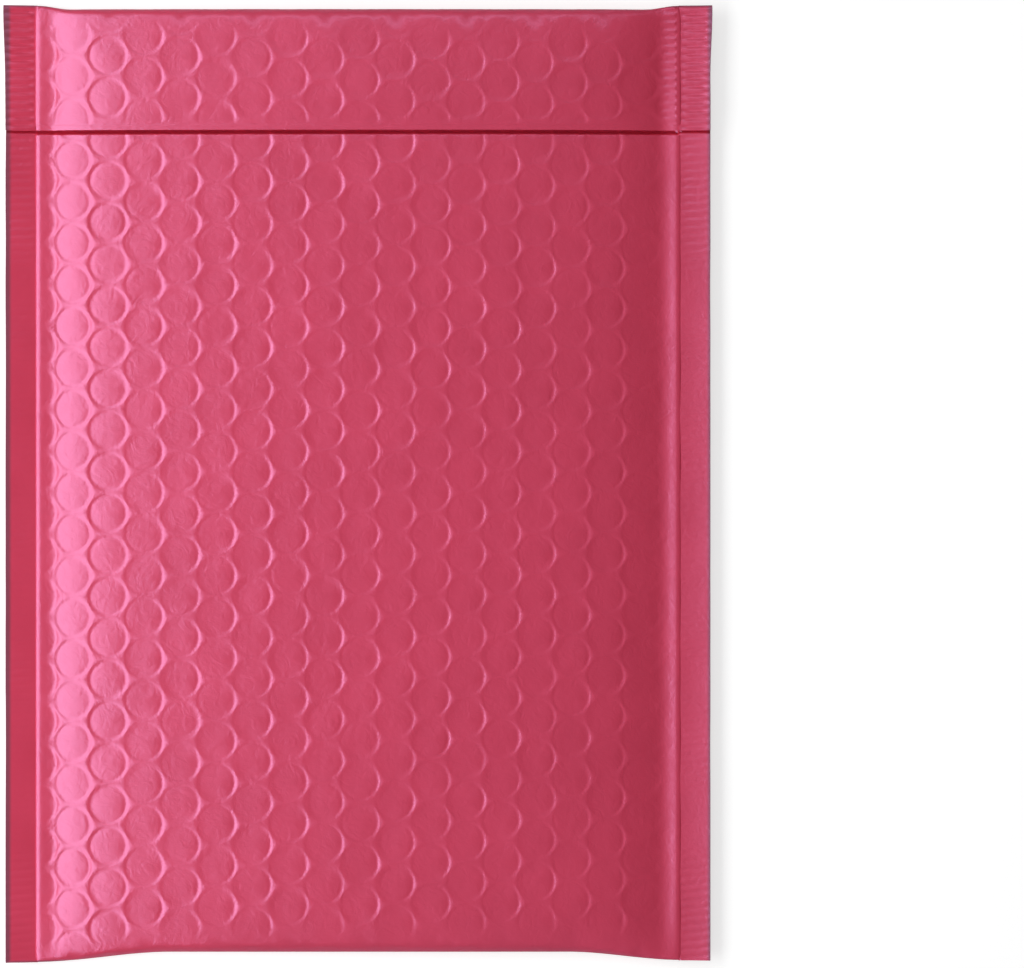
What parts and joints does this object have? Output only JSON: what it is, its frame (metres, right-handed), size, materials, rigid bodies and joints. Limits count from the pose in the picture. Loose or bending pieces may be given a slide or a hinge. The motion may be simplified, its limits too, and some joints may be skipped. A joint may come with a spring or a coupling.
{
  "type": "padded envelope",
  "caption": "Flat poly mailer with a bubble-lined wall, crimped side seams and a flap folded shut over the mouth.",
  "frame": {"origin": "middle of the underside: the centre of the bounding box's bottom face, on the table", "axes": "+X across the width, +Y from the bottom fold towards the flap's fold, +Z out of the front face, which carries the flap"},
  "size_m": [0.184, 0.25, 0.0093],
  "materials": {
    "pink_film": "satin"
  },
  "bodies": {
    "root": {"padded_envelope": "pink_film"}
  },
  "joints": []
}
